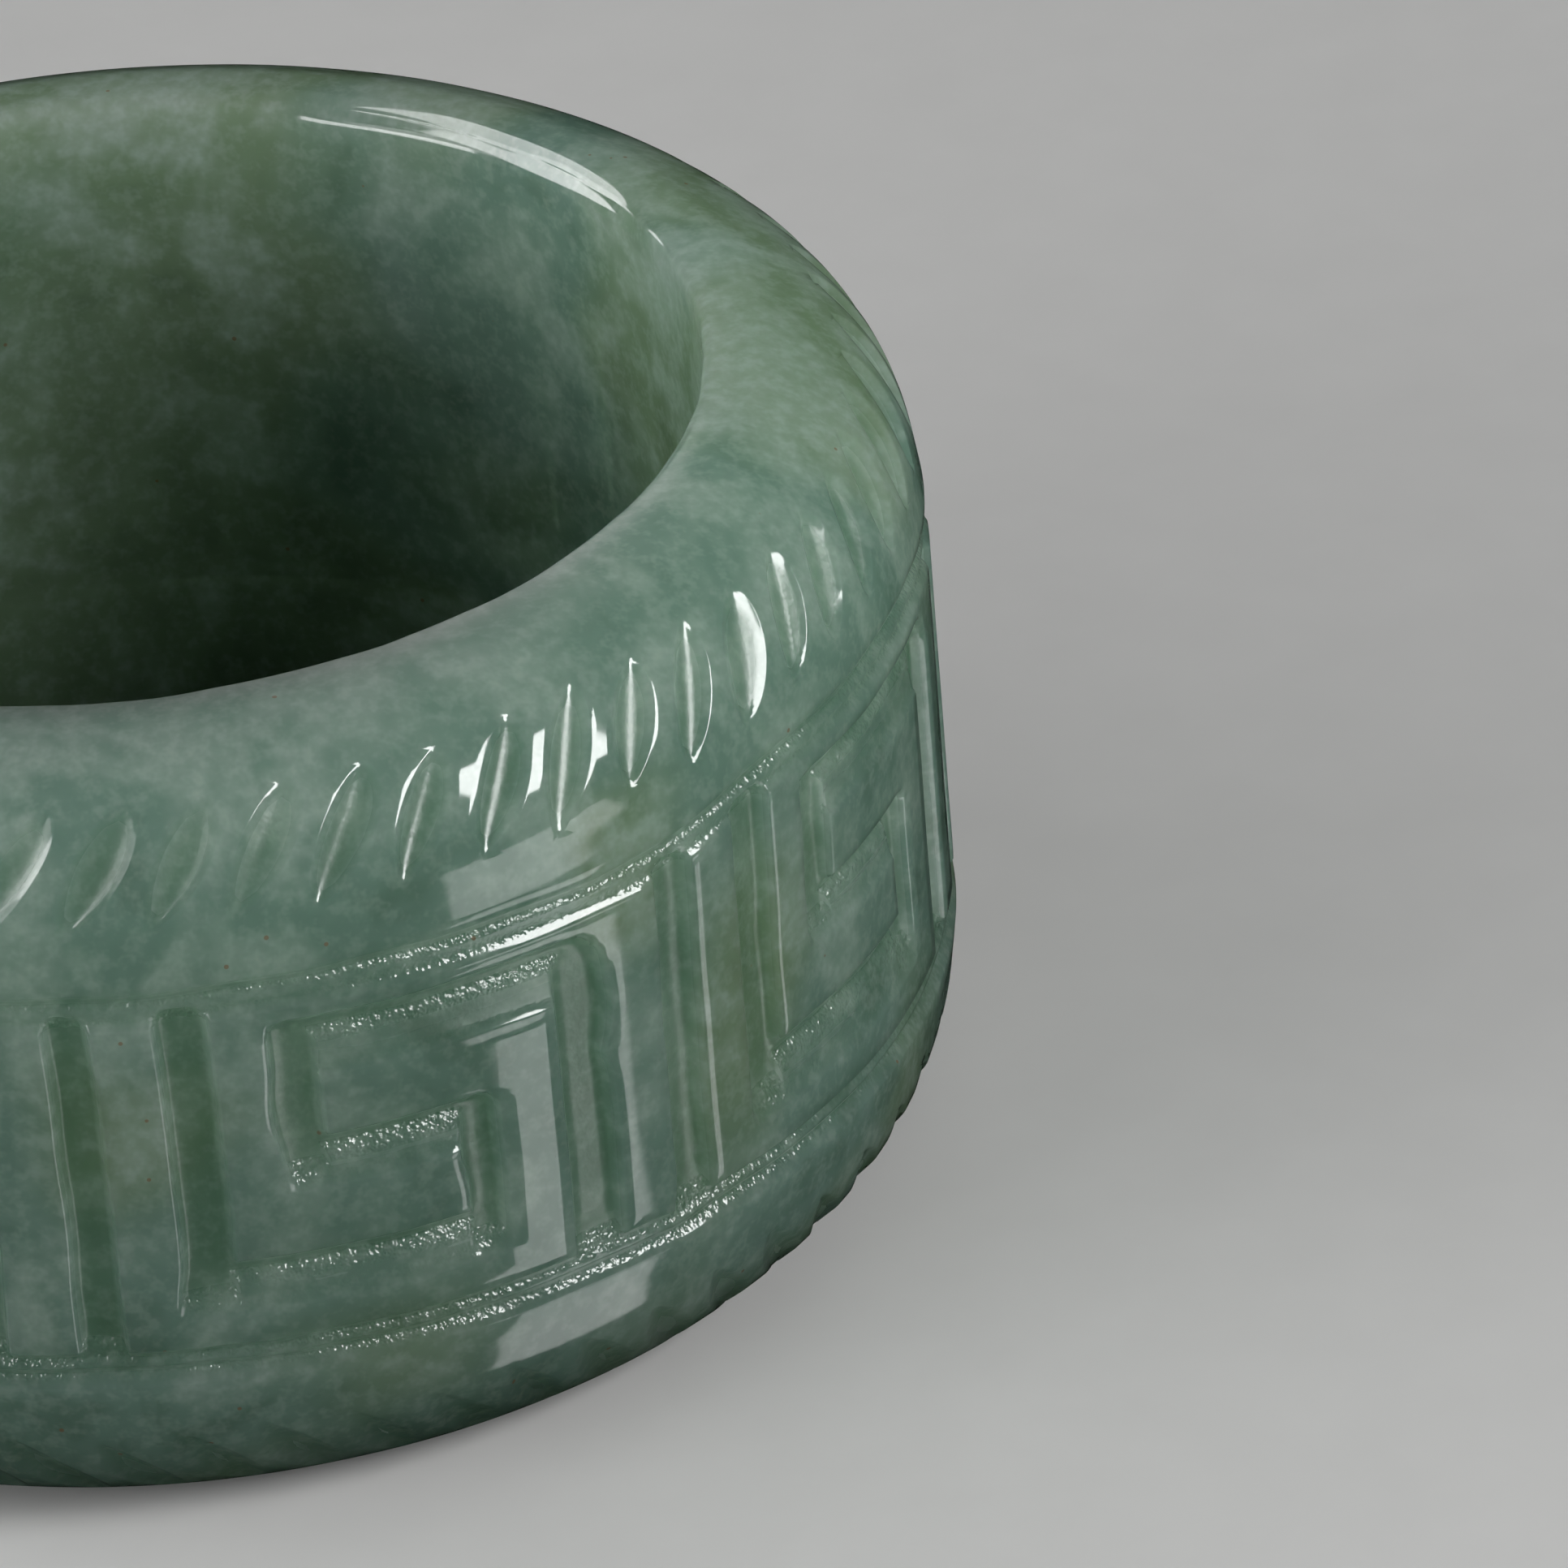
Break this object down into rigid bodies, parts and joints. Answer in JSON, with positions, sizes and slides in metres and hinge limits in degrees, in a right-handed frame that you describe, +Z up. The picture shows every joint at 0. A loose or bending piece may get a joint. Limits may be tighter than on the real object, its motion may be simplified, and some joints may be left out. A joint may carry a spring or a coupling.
{
  "type": "jade band ring",
  "caption": "Wide carved stone band ring with a key fret round its girdle and a row of slanted notches on each rounded shoulder.",
  "frame": {"origin": "middle of the ring's lower end, on the surface that it lies on", "axes": "+Z up along the bore axis; -Y is the front, with the ring lying on its side face"},
  "size_m": [0.027, 0.027, 0.0143],
  "materials": {
    "jade": "polished, slightly translucent, with tool marks in the cuts"
  },
  "bodies": {
    "root": {"jade_band": "jade"}
  },
  "joints": []
}
